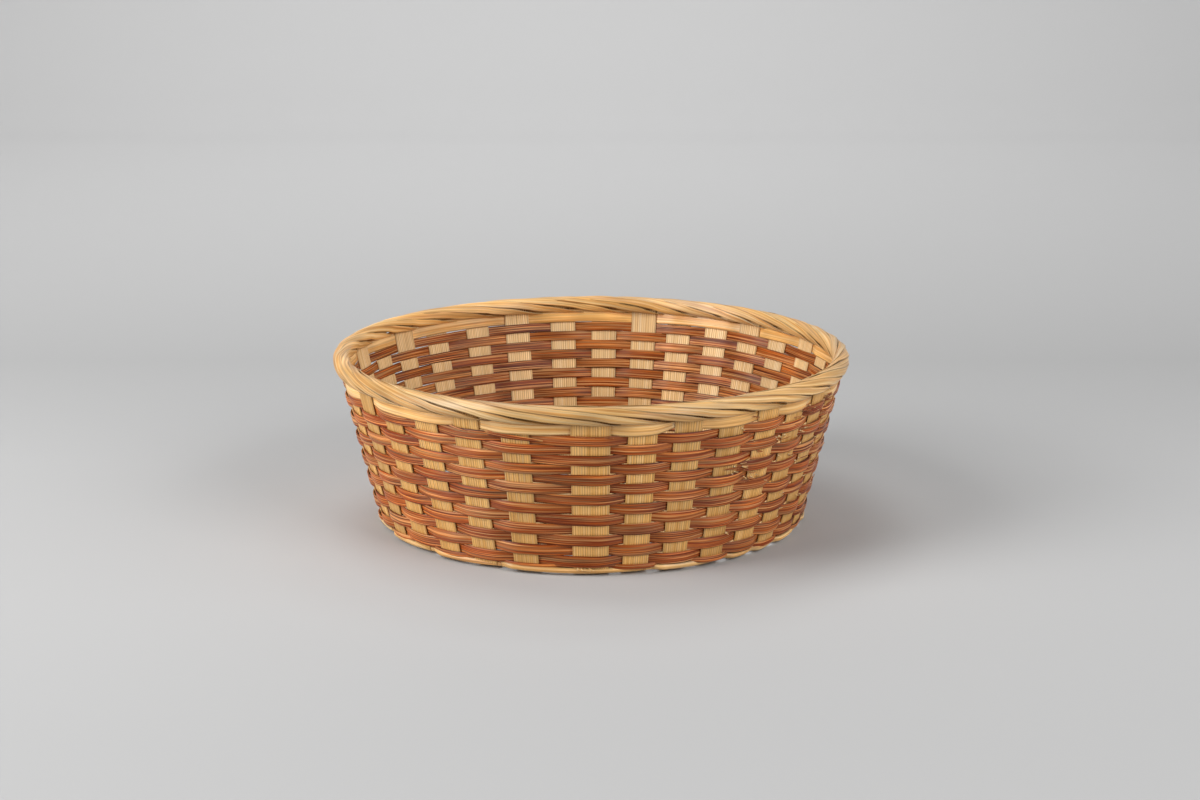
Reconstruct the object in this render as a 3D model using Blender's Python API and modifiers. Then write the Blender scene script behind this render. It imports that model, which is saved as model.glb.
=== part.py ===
"""Round woven berry basket of flat bamboo splints.

Long pale splints cross under the base, turn up at the foot and stand as the
stakes of the wall. Brown strips are woven over and under them, row by row,
each closed by a lap. A pale strip closes the wall, and six strands wind round
two hoops and the stake tips to make the rim.

Metres, +Z up. The origin is the middle of the basket at floor level, and the
front faces -Y. Angles of the stakes are counted from the front towards +X.
"""
from math import atan, cos, degrees, pi, radians, sin, sqrt, tan

import bpy

# The wall, measured on the middle surface of the stakes
HEIGHT = 0.084
FLOOR_RADIUS = 0.1024
# How much wider the wall is at the collar strip than at the floor
WALL_FLARE = 0.0178
RIM_LEAN = radians(3)
FOOT_BEND = 0.0025

# Clearances between pieces that touch on the real basket: strips on stakes,
# rows on rows, and the pieces of the rim roll and the foot
GAP = 0.0003
ROW_GAP = 0.0003
ROLL_CLEAR = 0.0009
TIP_CLEAR = 0.0008
EDGE_CLEAR = 0.0003
FOOT_CLEAR = 0.0007

# Stakes and the long splints that they are the ends of
SPLINT_THICKNESS = 0.0008
STAKE_WIDTH_TOP = 0.0136
STAKE_WIDTH_FOOT = 0.0116
WIDE_STAKE_EXTRA = 0.0044
WIDE_STAKE = 0
SPLINT_WIDTH_MIDDLE = 0.009
MIDDLE_HALF_LENGTH = 0.022
RING_RADIUS = 0.074
# Between the layered middle and the flat ring each splint comes down a ramp
RAMP_LENGTH = 0.008
SPLINT_GROUPS = (4, 4, 4, 5)
# Room between neighbours where they come down closest to each other
SPLINT_CLEAR = 0.0012
# Each stake's place round the wall, set by eye, in degrees
STAKE_TURNS = (
    -0.5, 10.8, 20.9, 31.6, 41.7, 51.1, 61.1, 70.5, 82.2, 93.9, 105.6, 115.0,
    126.4, 136.4, 146.4, 156.9, 166.3, 176.6, 187.2, 199.2, 210.2, 222.4,
    233.3, 243.0, 252.6, 262.0, 271.4, 280.6, 289.9, 299.4, 310.1, 321.1,
    332.0, 343.3,
)

# Woven strips. Each dives in or out a little inside the stake's edge, and its
# ends lap on the stakes from the first one named on
WEAVER_THICKNESS = 0.0008
WEAVER_WIDTH = 0.0044
LOW_WEAVER_WIDTH = 0.0022
ARCH_INSET = 0.001
# Rows stand further apart towards the foot, by this share of the mean step
ROW_EASE_SHARE = 0.08
LAP_COUNT = 2
LAP_FIRST = 3
LAP_SPREAD = 4
BASE_LAP_FIRST = 21
COLLAR_WIDTH = 0.0042
# Stakes that the collar strip passes outside; it misses a beat here and there
COLLAR_OUTSIDE = (1, 3, 5, 7, 9, 11, 13, 16, 19, 22, 24, 26, 28, 30, 31, 33)
FOOT_STRAND_WIDTH = 0.0016
# The outer foot strand's place round the foot bend, down from the wall
FOOT_PLACE_SHARE = 0.6
BASE_WEAVER_WIDTH = 0.005
# The base row's place across the flat ring, from its inner edge out to the foot strand
BASE_ROW_SHARE = 0.53

# Rim roll: strands, and the hoops inside it
STRAND_THICKNESS = 0.0008
STRAND_WIDTH = 0.0026
STRAND_GAP = 0.0005
STRAND_INSET = 0.002
STRAND_STAKES = 6
STRAND_FIRST = 21
CROWN_RISE = 0.001
SHOULDER_IN = 0.0007
HOOP_HEIGHT = 0.002
HOOP_CLEAR = 0.0004
STRAND_CLEAR = 0.0005
STRAND_END_GAP = 0.0006

# Colours as seen, and how matt each finish is
PALE_BAMBOO = (0.86, 0.70, 0.45)
RIM_BAMBOO = (0.89, 0.71, 0.42)
BROWN_BAMBOO = (0.61, 0.34, 0.18)
BAMBOO_ROUGHNESS = 0.5

COLLECTION_NAME = "berry_basket"

TURNS = [radians(turn) for turn in STAKE_TURNS]
STAKES = len(TURNS)
STEPS = [b - a for a, b in zip(TURNS, TURNS[1:] + [TURNS[0] + 2 * pi])]
WIDEST_TURN = max(STEPS)
SPLINT_WIDTH_RING = (RING_RADIUS - RAMP_LENGTH) * min(STEPS) - SPLINT_CLEAR
HALF_SPLINT = SPLINT_THICKNESS / 2
HALF_WEAVER = WEAVER_THICKNESS / 2
HALF_STRAND = STRAND_THICKNESS / 2
# How far a strip's middle stands off a stake's middle when it lies flat on it
FLAT_LIFT = HALF_SPLINT + GAP + HALF_WEAVER
# A woven pass under the base rests on the floor
BASE_Z = FLAT_LIFT + HALF_WEAVER

# Rim roll sizes across (n, outwards) and up (v, from the roll's lower edge)
STRAND_STEP = STRAND_WIDTH + STRAND_GAP
SHOULDER_N = sqrt(STRAND_STEP**2 - CROWN_RISE**2)
FACE_N = SHOULDER_N + SHOULDER_IN
LOW_V = STRAND_CLEAR + STRAND_WIDTH / 2
FACE_V = LOW_V + STRAND_STEP
SHOULDER_V = FACE_V + STRAND_STEP
CROWN_V = SHOULDER_V + CROWN_RISE
TIP_V = CROWN_V - HALF_STRAND - TIP_CLEAR
RIM_BASE_Z = HEIGHT - (CROWN_V + HALF_STRAND) * cos(RIM_LEAN)
COLLAR_Z = RIM_BASE_Z - COLLAR_WIDTH / 2

# The stakes' side view: base plane, foot bend, wall line, then the rim
COLLAR_RADIUS = FLOOR_RADIUS + WALL_FLARE
WALL_LEAN = atan(WALL_FLARE / COLLAR_Z)
WALL_RISE = pi / 2 - WALL_LEAN
BEND_TANGENT = FOOT_BEND * tan(WALL_RISE / 2)
CORNER_RADIUS = FLOOR_RADIUS + BASE_Z * tan(WALL_LEAN)
BEND_START_RADIUS = CORNER_RADIUS - BEND_TANGENT
BEND_LENGTH = FOOT_BEND * WALL_RISE
WALL_START_RADIUS = CORNER_RADIUS + BEND_TANGENT * cos(WALL_RISE)
WALL_START_Z = BASE_Z + BEND_TANGENT * sin(WALL_RISE)
WALL_LENGTH = (COLLAR_Z - WALL_START_Z) / sin(WALL_RISE)
RIM_MID_RADIUS = COLLAR_RADIUS + (RIM_BASE_Z - COLLAR_Z) * tan(RIM_LEAN)
TIP_LENGTH = WALL_LENGTH + (RIM_BASE_Z - COLLAR_Z) / cos(RIM_LEAN) + TIP_V

# Rows along the stakes, measured up from where the wall starts
RING_S = RING_RADIUS - BEND_START_RADIUS - BEND_LENGTH
FOOT_S = -BEND_LENGTH * FOOT_PLACE_SHARE
FOOT_INNER_S = FOOT_S - FOOT_STRAND_WIDTH - FOOT_CLEAR - GAP
LOW_ROW_S = FOOT_S + (FOOT_STRAND_WIDTH + LOW_WEAVER_WIDTH) / 2 + FOOT_CLEAR
SECOND_ROW_S = LOW_ROW_S + (LOW_WEAVER_WIDTH + WEAVER_WIDTH) / 2 + GAP
# Inside, the collar strip leans back over the row below it, by its distance off the stakes
COLLAR_DIP = 2 * FLAT_LIFT * sin(WALL_LEAN - RIM_LEAN)
TOP_ROW_S = WALL_LENGTH - (COLLAR_WIDTH + WEAVER_WIDTH) / 2 - ROW_GAP - COLLAR_DIP
BASE_ROW_S = RING_S + (FOOT_INNER_S - RING_S) * BASE_ROW_SHARE
ROW_SPAN = TOP_ROW_S - SECOND_ROW_S
FULL_ROWS = 1 + int(ROW_SPAN * (1 - ROW_EASE_SHARE) / (WEAVER_WIDTH + ROW_GAP))


def profile(s):
    """Radius, height and rise angle of a stake's middle line at s."""
    if s >= WALL_LENGTH:
        over = s - WALL_LENGTH
        rise = pi / 2 - RIM_LEAN
        return COLLAR_RADIUS + over * cos(rise), COLLAR_Z + over * sin(rise), rise
    if s >= 0:
        rise = WALL_RISE
        return WALL_START_RADIUS + s * cos(rise), WALL_START_Z + s * sin(rise), rise
    if s >= -BEND_LENGTH:
        rise = WALL_RISE + s / FOOT_BEND
        return (
            BEND_START_RADIUS + FOOT_BEND * sin(rise),
            BASE_Z + FOOT_BEND * (1 - cos(rise)),
            rise,
        )
    return BEND_START_RADIUS + BEND_LENGTH + s, BASE_Z, 0.0


def stake_width(stake, s):
    """Width of a stake at s: it narrows down the wall and along the base."""
    extra = WIDE_STAKE_EXTRA if stake % STAKES == WIDE_STAKE else 0
    foot = STAKE_WIDTH_FOOT + extra
    if s >= 0:
        return foot + (STAKE_WIDTH_TOP - STAKE_WIDTH_FOOT) * s / TIP_LENGTH
    if s >= -BEND_LENGTH:
        return foot
    ring = SPLINT_WIDTH_RING
    return ring + (foot - ring) * (profile(s)[0] - RING_RADIUS) / (BEND_START_RADIUS - RING_RADIUS)


def row_place(row):
    """Place along the stakes of a full row, counted from the lowest one."""
    up = row / (FULL_ROWS - 1)
    return SECOND_ROW_S + ROW_SPAN * (up + ROW_EASE_SHARE * up * (1 - up))


def turn_of(stake):
    """Angle of a stake, counted on past a full turn."""
    return TURNS[stake % STAKES] + 2 * pi * (stake // STAKES)


def on_stake(stake, radius, height, along=0.0):
    """A point at a radius on a stake's centre line, moved along its width."""
    turn = turn_of(stake)
    return (
        radius * sin(turn) + along * cos(turn),
        -radius * cos(turn) + along * sin(turn),
        height,
    )


def between_stakes(stake, radius, height):
    """The corner where the flats over a stake and the next one meet."""
    first, second = turn_of(stake), turn_of(stake + 1)
    middle = (first + second) / 2
    reach = radius / cos((second - first) / 2)
    return reach * sin(middle), -reach * cos(middle), height


def free_gap(stake, s):
    """Room between a stake and the next one at s."""
    radius = profile(s)[0]
    pitch = 2 * radius * sin((turn_of(stake + 1) - turn_of(stake)) / 2)
    return pitch - (stake_width(stake, s) + stake_width(stake + 1, s)) / 2


def linear(value):
    """One sRGB channel as a linear value."""
    return value / 12.92 if value <= 0.04045 else ((value + 0.055) / 1.055) ** 2.4


def bamboo(name, colour):
    """A matt bamboo finish of its own for one piece."""
    material = bpy.data.materials.new(name)
    material.use_nodes = True
    shader = material.node_tree.nodes["Principled BSDF"]
    shader.inputs["Base Color"].default_value = (*[linear(c) for c in colour], 1)
    shader.inputs["Roughness"].default_value = BAMBOO_ROUGHNESS
    shader.inputs["Metallic"].default_value = 0
    return material


def strip(name, stations, width, thickness, colour, shares=None, closed=False):
    """A flat strip along stations of (point, tilt), with shares of the width if it tapers."""
    curve = bpy.data.curves.new(name, "CURVE")
    curve.dimensions = "3D"
    curve.twist_mode = "Z_UP"
    curve.extrude = width / 2
    spline = curve.splines.new("POLY")
    spline.points.add(len(stations) - 1)
    spline.use_cyclic_u = closed
    for place, (point, tilt) in zip(spline.points, stations):
        place.co = (*point, 1)
        place.tilt = tilt
    if shares:
        spline.points.foreach_set("radius", shares)
    piece = bpy.data.objects.new(name, curve)
    piece.data.materials.append(bamboo(name, colour))
    basket.objects.link(piece)
    wall = piece.modifiers.new("thickness", "SOLIDIFY")
    wall.thickness = thickness
    wall.offset = 0
    wall.use_even_offset = True
    return piece


def splint(number, start, count, member, layer):
    """A long splint: up the wall, across the base in its layer, up again."""
    near = start + member
    far = start + STAKES // 2 + count - 1 - member
    group = range(start, start + count)
    axis = sum(turn_of(k) + turn_of(k + STAKES // 2) - pi for k in group) / (2 * count)
    aside = (member - (count - 1) / 2) * (SPLINT_WIDTH_MIDDLE + GAP)
    height = BASE_Z + layer * (SPLINT_THICKNESS + GAP)
    stations = []
    for stake, side in ((near, 1), (far, -1)):
        rising = [
            (
                (
                    side * MIDDLE_HALF_LENGTH * sin(axis) + aside * cos(axis),
                    -side * MIDDLE_HALF_LENGTH * cos(axis) + aside * sin(axis),
                    height,
                ),
                SPLINT_WIDTH_MIDDLE,
            ),
            (on_stake(stake, RING_RADIUS - RAMP_LENGTH, height), SPLINT_WIDTH_RING),
        ]
        for s in (RING_S, -BEND_LENGTH, -BEND_LENGTH / 2, 0, WALL_LENGTH, TIP_LENGTH):
            radius, z, _ = profile(s)
            rising.append((on_stake(stake, radius, z), stake_width(stake, s)))
        stations += rising[::-1] if side == 1 else rising
    path = [(point, pi / 2) for point, _ in stations]
    shares = [width / STAKE_WIDTH_TOP for _, width in stations]
    strip(f"splint_{number:02d}", path, STAKE_WIDTH_TOP, SPLINT_THICKNESS, PALE_BAMBOO, shares)


def lifts(s, width, inset):
    """How far a strip stands off the stakes, outside and inside, to clear their edges."""
    half_gap = min(free_gap(stake, s) for stake in range(STAKES)) / 2
    if inset <= 0:
        outer = FLAT_LIFT
    else:
        slope = atan(FLAT_LIFT / half_gap)
        edge_lift = HALF_SPLINT + GAP + HALF_WEAVER / cos(slope)
        outer = edge_lift * (half_gap + inset) / half_gap + inset * sin(WIDEST_TURN) / 2
    hollow = 0
    if -BEND_LENGTH < s < 0:
        # The strip is flat across the hollow side of the foot bend
        room = FOOT_BEND * cos(WALL_RISE / 4) - HALF_SPLINT - GAP
        hollow = FOOT_BEND - HALF_SPLINT - GAP - sqrt(room**2 - (width / 2) ** 2)
    return outer, outer + hollow


def weave(name, s, width, colour, outside, first, laps, inset):
    """A strip woven round the stakes at s, with its ends lapped at one place."""
    radius, height, rise = profile(s)
    layer_step = WEAVER_THICKNESS + GAP
    outer, inner = lifts(s, width, inset)
    last = first + STAKES
    stations = []
    for stake in range(first, last + laps):
        if outside(stake % STAKES):
            offset = outer + (layer_step if stake >= last else 0)
        else:
            offset = -inner - (layer_step if stake < first + laps else 0)
        # Near the lap the strip dives more steeply, so it turns at the stake's very edge
        steep = stake <= first + laps or stake >= last - 1
        reach = stake_width(stake, s) / 2 - (min(inset, 0) if steep else inset)
        for along in (-reach, reach):
            point = on_stake(stake, radius + offset * sin(rise), height - offset * cos(rise), along)
            stations.append((point, pi / 2 - rise))
    strip(name, stations, width, WEAVER_THICKNESS, colour)


def rim_place(n, v):
    """Radius and height of a place in the rim roll."""
    radius = RIM_MID_RADIUS + v * sin(RIM_LEAN) + n * cos(RIM_LEAN)
    return radius, RIM_BASE_Z + v * cos(RIM_LEAN) - n * sin(RIM_LEAN)


def rim_strand(number, first, turns):
    """A strand that climbs inside the roll, goes over and down, and through."""
    over_the_top = (
        (-FACE_N, FACE_V, 0),
        (-SHOULDER_N, SHOULDER_V, pi / 4),
        (0, CROWN_V, pi / 2),
        (SHOULDER_N, SHOULDER_V, 3 * pi / 4),
        (FACE_N, FACE_V, pi),
    )
    inner, outer = rim_place(-FACE_N, LOW_V), rim_place(FACE_N, LOW_V)
    stations = []
    for turn in range(turns + 1):
        gap = first + turn * STRAND_STAKES
        twist = turn * pi + RIM_LEAN
        reach = stake_width(gap, TIP_LENGTH) / 2 - STRAND_INSET
        if turn:
            stations.append((on_stake(gap, *outer, reach), twist))
        reach = stake_width(gap + 1, TIP_LENGTH) / 2 - STRAND_INSET
        start = STRAND_END_GAP if turn == 0 else 0
        stations.append((on_stake(gap + 1, *inner, start - reach), twist))
        if turn == turns:
            break
        for step, (n, v, tilt) in enumerate(over_the_top, 1):
            place = between_stakes(gap + step, *rim_place(n, v))
            stations.append((place, twist + tilt))
    strip(f"rim_strand_{number}", stations, STRAND_WIDTH, STRAND_THICKNESS, RIM_BAMBOO)


def rim_hoop(name, side):
    """A flat hoop beside the stake tips, inside the roll."""
    near = HALF_SPLINT + GAP
    far = FACE_N - HALF_STRAND - ROLL_CLEAR
    bottom = LOW_V + STRAND_WIDTH / 2 + HOOP_CLEAR
    radius, height = rim_place(side * (near + far) / 2, bottom + HOOP_HEIGHT / 2)
    stations = [(between_stakes(k, radius, height), RIM_LEAN) for k in range(STAKES)]
    strip(name, stations, HOOP_HEIGHT, far - near, PALE_BAMBOO, closed=True)


def build_base():
    """The crossing splints, in one layer for each group, and the base rows."""
    start, number = 0, 1
    for layer, count in enumerate(SPLINT_GROUPS):
        for member in range(count):
            splint(number, start, count, member, layer)
            number += 1
        start += count
    weave(
        "base_weaver", BASE_ROW_S, BASE_WEAVER_WIDTH, PALE_BAMBOO,
        lambda stake: stake % 2 == 0, BASE_LAP_FIRST, 1, -EDGE_CLEAR,
    )
    for row, s in enumerate((FOOT_S, FOOT_INNER_S)):
        weave(
            f"foot_strand_{row + 1}", s, FOOT_STRAND_WIDTH, RIM_BAMBOO,
            lambda stake, row=row: (stake + row) % 2 == 0, BASE_LAP_FIRST + row, 1, -EDGE_CLEAR,
        )


def build_wall():
    """The brown rows from the foot up, and the pale collar strip on top."""
    rows = [(LOW_ROW_S, LOW_WEAVER_WIDTH)]
    rows += [(row_place(row), WEAVER_WIDTH) for row in range(FULL_ROWS)]
    for row, (s, width) in enumerate(rows):
        weave(
            f"weaver_{row + 1:02d}", s, width, BROWN_BAMBOO,
            lambda stake, row=row: (stake + row) % 2 == 1, LAP_FIRST + row % LAP_SPREAD, LAP_COUNT,
            ARCH_INSET,
        )
    weave(
        "collar_weaver", WALL_LENGTH, COLLAR_WIDTH, RIM_BAMBOO,
        lambda stake: stake in COLLAR_OUTSIDE, LAP_FIRST, LAP_COUNT, ARCH_INSET,
    )


def build_rim():
    """The two hoops and the strands wound round them, one through each gap."""
    rim_hoop("rim_hoop_outer", 1)
    rim_hoop("rim_hoop_inner", -1)
    full_turns = STAKES // STRAND_STAKES
    for number in range(STRAND_STAKES):
        longer = number < STAKES % STRAND_STAKES
        rim_strand(number + 1, STRAND_FIRST + number, full_turns + (1 if longer else 0))


for old in list(bpy.data.objects):
    bpy.data.objects.remove(old, do_unlink=True)
basket = bpy.data.collections.new(COLLECTION_NAME)
bpy.context.scene.collection.children.link(basket)
build_base()
build_wall()
build_rim()
print("stakes", STAKES, "rows", FULL_ROWS + 1, "wall lean deg", round(degrees(WALL_LEAN), 1))
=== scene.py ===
"""Looks of the round woven berry basket: split bamboo strips, rim and foot.

Every strip is one Geometry Nodes ribbon along a path worked out here. The
stakes' turns, the heights of the rows and the rim come from the frame, and the
springy curve of each strip over and under the stakes is made by this script.

Metres, +Z up. The front faces -Y, and angles are counted from it towards +X.
"""
from math import atan, atan2, cos, pi, radians, sin, tan

import bpy
import numpy as np
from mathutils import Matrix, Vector


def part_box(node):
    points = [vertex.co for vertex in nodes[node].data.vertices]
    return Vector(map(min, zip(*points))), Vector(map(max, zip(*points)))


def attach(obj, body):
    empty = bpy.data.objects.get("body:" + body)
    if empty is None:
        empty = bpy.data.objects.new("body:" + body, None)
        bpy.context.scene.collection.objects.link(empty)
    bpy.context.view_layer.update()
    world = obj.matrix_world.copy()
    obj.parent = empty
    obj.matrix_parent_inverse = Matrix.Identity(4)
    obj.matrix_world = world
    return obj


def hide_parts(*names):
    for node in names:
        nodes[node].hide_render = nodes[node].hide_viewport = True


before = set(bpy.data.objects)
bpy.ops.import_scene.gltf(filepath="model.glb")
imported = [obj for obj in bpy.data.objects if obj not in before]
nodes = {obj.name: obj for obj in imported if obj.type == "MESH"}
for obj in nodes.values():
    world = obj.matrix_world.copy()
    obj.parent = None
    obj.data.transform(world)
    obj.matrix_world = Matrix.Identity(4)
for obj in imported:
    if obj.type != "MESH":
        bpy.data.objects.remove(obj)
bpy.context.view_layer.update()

# The stakes' side view: floor radius of the wall line, flare, foot and rim
FLOOR_RADIUS = 0.1024
WALL_FLARE = 0.0178
BASE_Z = 0.0015
FOOT_BEND = 0.003
ELBOW_LENGTH = 0.009
RIM_LEAN = radians(3)
# How far the line is worked out below the wall and past the collar, and how finely
LINE_BELOW = 0.045
LINE_PAST = 0.012
LINE_PACE = 0.00005

# Split bamboo of the stakes and long splints
STAKE_THICKNESS = 0.0008
STAKE_FOOT_SHARE = 0.86
SPLINT_RING_SHARE = 0.69
SPLINT_MIDDLE_SHARE = 0.66
WIDE_STAKE_MORE = 0.0044
MIDDLE_HALF_LENGTH = 0.022
MIDDLE_STEP = 0.0093
LAYER_STEP = 0.0011
RING_RADIUS = 0.074
RAMP_LENGTH = 0.008
SPLINT_GROUPS = (4, 4, 4, 5)
SPLINT_TONES = (0.25, 0.75)
RIB_PITCH = 0.0012
RIB_HEIGHT = 0.00003
# Points along a splint: in the middle, on the ramp, on the base ring, round the bend, up the wall
MIDDLE_STEPS, RAMP_STEPS, RING_STEPS, BEND_STEPS, WALL_STEPS = 9, 6, 12, 8, 40

# Painted light and shade round the basket: places in stakes from the front one, and how much painted light
# (plus) or painted shade (minus) each adds to a strip's tone
PAINTED_LIGHT_ROUND_RIM = (
    (0, 3, 6, 8.5, 12, 17, 19.5, 22, 26, 31, 34),
    (-0.47, 0.1, 0, -0.2, -0.12, -0.12, 0.15, 0.45, 0.08, -0.14, -0.47),
)
PAINTED_LIGHT_ROUND_WALL = (
    (0, 3, 6, 22, 26, 28, 29.5, 31, 32.5, 34),
    (-0.13, 0.2, 0.05, -0.08, 0.08, 0.3, 0.55, 0.42, 0.05, -0.13),
)
# The palest tone of woven pale strips and of rim strands, so that none turns white
PALE_TONE_MOST = 1
RIM_TONE_MOST = 1.1

# Every strip: how much of a cut end shows pale, and how far the sheen is drawn out across the fibres
CUT_LENGTH = 0.0003
FIBRE_DRAW = 0.8

# Brown strips: sizes, and the lap of each row's ends, which starts a stake further on in each row
WEAVER_THICKNESS = 0.0007
WEAVER_MORE = 0.00008
LOW_WEAVER_WIDTH = 0.0024
LOW_WEAVER_LIFT = 0.0004
LAP_STEP = 0.0008
LAP_FIRST = 3
LAP_SPREAD = 4
LAP_COUNT = 2
LAP_END = 0.38

# The weave: room at a stake's edge, share of each half pass that bends, and the dip between two
# stakes passed on the same side. Below FLAT_RISE a strip lies on the flat base
STEPS_PER_STAKE = 14
EDGE_ROOM = 0.00008
SPRING_SHARE = 0.72
SPRING_MARGIN = 0.1
FLOAT_DIP = 0.1
FLAT_RISE = 0.1
LOWEST_Z = 0.0001
# Strips are fully cupped from this stand-off on. Their tone is painted lighter where they stand out and
# darker where they dive behind a stake, as painted light and painted shade
CUP_FULL_AT = 0.0006
PAINTED_DIVE_FROM = 0.62
PAINTED_DIVE_SHARE = 0.4
TONE_SPREAD = 0.14

# Upper rows are a little slimmer at the back left, by stakes, and leave slits
SLIT_FIRST_ROW = 8
SLIT_SHARES = ((20.6, 22, 24.6, 26), (1, 0.9, 0.88, 1))

# Pale strips: collar, base row, foot pair
COLLAR_WIDTH = 0.0072
COLLAR_LIFT = 0.001
COLLAR_OUTSIDE = (1, 3, 5, 7, 9, 11, 13, 16, 19, 22, 24, 26, 28, 30, 31, 33)
# In stakes: where the collar starts, ends past a full turn, and starts to rise to its end
COLLAR_FIRST = 1.75
COLLAR_PAST = 1.68
COLLAR_RISE_FROM = 1.2
COLLAR_END_RISE = 0.0009
COLLAR_RAGGED = ((0, 0.1, 0.3, 0.8), (0.6, 0.78, 0.92, 1))
# The collar is painted paler, as painted light against the shade that the roll casts on it
COLLAR_PAINTED_LIGHT_TONE = 0.8
BASE_ROW_WIDTH = 0.005
BASE_ROW_RADIUS = 0.0877
BASE_ROW_FIRST = 20.6
BASE_ROW_PAST = 21.4
FOOT_WIDTH = 0.0029
FOOT_LIFT = 0.0008
FOOT_THICKNESS = 0.001
FOOT_FACE = radians(62)
FOOT_CUP = 0.0007
# The foot strands are painted paler: partly their own cream colour, partly painted light where the key
# light's sheen falls
FOOT_TONE_WITH_PAINTED_LIGHT = 0.8
# Foot strands: first stake, how far short of a full turn, points per stake, place along the bend
FOOT_FIRST = 21.6
FOOT_SHORT = 0.3
FOOT_STEPS = 20
FOOT_PLACE = 0.42
# How far they stand off, slide down as they pass outside, sit inside and are drawn up at a crossing
FOOT_STAND_OFF = 0.0012
FOOT_SLIDE = 0.0012
FOOT_INSIDE = 0.0006
FOOT_DRAWN_UP = 0.0006
# Half the length of a crossing, in stakes
FOOT_CROSS = 0.22
# Where the two foot strands change places, in stakes from the front one
FOOT_CROSSINGS = (
    -3.55, -1.55, 1.5, 3.5, 4.5, 5.5, 7.5, 9.5, 10.5, 12.5, 15.5, 17.5, 18.5, 20.5, 22.5, 24.5, 26.5, 28.5,
)

# Scattered frays, least and most: length in stakes, rise, width, tone and how far the tip stands off
FRAY_THICKNESS = 0.0003
FRAY_BROWN_LONG = (0.15, 0.5)
FRAY_PALE_LONG = (0.06, 0.16)
FRAY_RISE = (-0.0012, 0.0006)
FRAY_WIDE = (0.0003, 0.0007)
FRAY_TONES = (0.2, 0.7)
FRAY_FAR = (0.0012, 0.0018)
# How far the root stands off, the arch between, and the shape of the point
FRAY_NEAR = 0.0009
FRAY_ARCH = 0.0003
FRAY_CURL = 1.5
FRAY_POINTED = ((0, 0.5, 0.85, 1), (1, 0.95, 0.6, 0.25))
# Where the wall is rough: stakes from and to, heights from and to, counts of brown and of pale frays
ROUGH_PATCHES = (
    (3.1, 7.4, 0.016, 0.074, 44, 30), (2.9, 3.8, 0.041, 0.049, 12, 10), (5.2, 6.8, 0.066, 0.074, 12, 8),
)

# Rim roll: strand path round the roll's section, by stakes of travel
STRAND_STAKES = 6
STRAND_FIRST = 21
STRAND_WIDTH = 0.0037
STRAND_THICKNESS = 0.0005
STRAND_CUP = 0.0001
STRAND_TILT = radians(4)
STRAND_TILT_SPREAD = radians(4.5)
STRAND_END = 0.15
# The strand is narrower where it passes through the wall, by stakes from there
STRAND_SHARES = ((0, 0.5, 1.2), (0.72, 0.88, 1.0))
ROLL_HALF_WIDTH = 0.0035
ROLL_HALF_HEIGHT = 0.0039
ROLL_CENTRE_RISE = 0.0043
ROLL_POWER_SHARE = 0.8
ROLL_TRAVEL = (0, 0.3, 1, 2, 3, 4, 5, 5.7, 6)
ROLL_ANGLES = (270, 222, 188, 140, 90, 40, -8, -42, -90)

# Camera, as fitted to the rim and the foot of the photographed basket
CAMERA_AIM = Vector((0.00416, 0, 0.0566))
CAMERA_DISTANCE = 1.2
CAMERA_DOWN = radians(13.96)
LENS_MM = 73.65
SENSOR_MM = 36

# Paper sweep. Its far end lies behind the furthest place of a camera that goes round the basket
FLOOR_FRONT = -1.7
FLOOR_BACK = 1.35
SWEEP_RADIUS = 0.5
WALL_TOP = 1.5
SWEEP_HALF_WIDTH = 1.6
# The painted light and shade on the paper runs between these places front to back
PAINTED_SHADE_FROM = -0.3
PAINTED_SHADE_TO = 1.7
# Towards the key light on the left the paper is painted darker, as painted shade against the key light's pool
# of light, down to this share
KEY_EDGE_DARKEST = -1.3
KEY_EDGE_END = -0.75
KEY_EDGE_SHARE = 0.5

# The world lights the basket a little, and is paler where the camera and reflections see it
WORLD_LIGHT = 0.02
WORLD_SHOWN = 0.85

rng = np.random.default_rng(7)


def srgb(text):
    """An sRGB hex colour as linear values."""
    channels = [int(text[k:k + 2], 16) / 255 for k in (1, 3, 5)]
    return tuple(c / 12.92 if c <= 0.04045 else ((c + 0.055) / 1.055) ** 2.4 for c in channels) + (1.0,)


def add(tree, kind, inputs=(), **settings):
    """Add a node with its settings. Each input is a value or another node's output."""
    node = tree.nodes.new(kind)
    for name, value in settings.items():
        setattr(node, name, value)
    for place, value in inputs.items() if isinstance(inputs, dict) else enumerate(inputs):
        if isinstance(value, bpy.types.NodeSocket):
            tree.links.new(value, node.inputs[place])
        elif value is not None:
            node.inputs[place].default_value = value
    return node


# Stakes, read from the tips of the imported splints
def splint_tips():
    """For each stake its turn from the front and its width at the tip."""
    tips = []
    for name in sorted(n for n in nodes if n.startswith("splint_")):
        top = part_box(name)[1].z
        high = [v.co for v in nodes[name].data.vertices if v.co.z > top - STAKE_THICKNESS]
        for side in (1, -1):
            cluster = [co for co in high if side * co.dot(high[0]) > 0]
            centre = sum(cluster, Vector()) / len(cluster)
            turn = atan2(centre.x, -centre.y)
            across = Vector((cos(turn), sin(turn), 0))
            reach = [co.dot(across) for co in cluster]
            tips.append((turn, max(reach) - min(reach)))
    wide = max(tips, key=lambda tip: tip[1])
    return sorted(((turn - wide[0]) % (2 * pi) + wide[0], width) for turn, width in tips)


TIPS = splint_tips()
STAKES = len(TIPS)
TURNS = np.array([turn for turn, _ in TIPS])
TIP_WIDTHS = np.array([width for _, width in TIPS])


def middle_z(name):
    """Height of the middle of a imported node."""
    low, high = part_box(name)
    return (low.z + high.z) / 2


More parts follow.
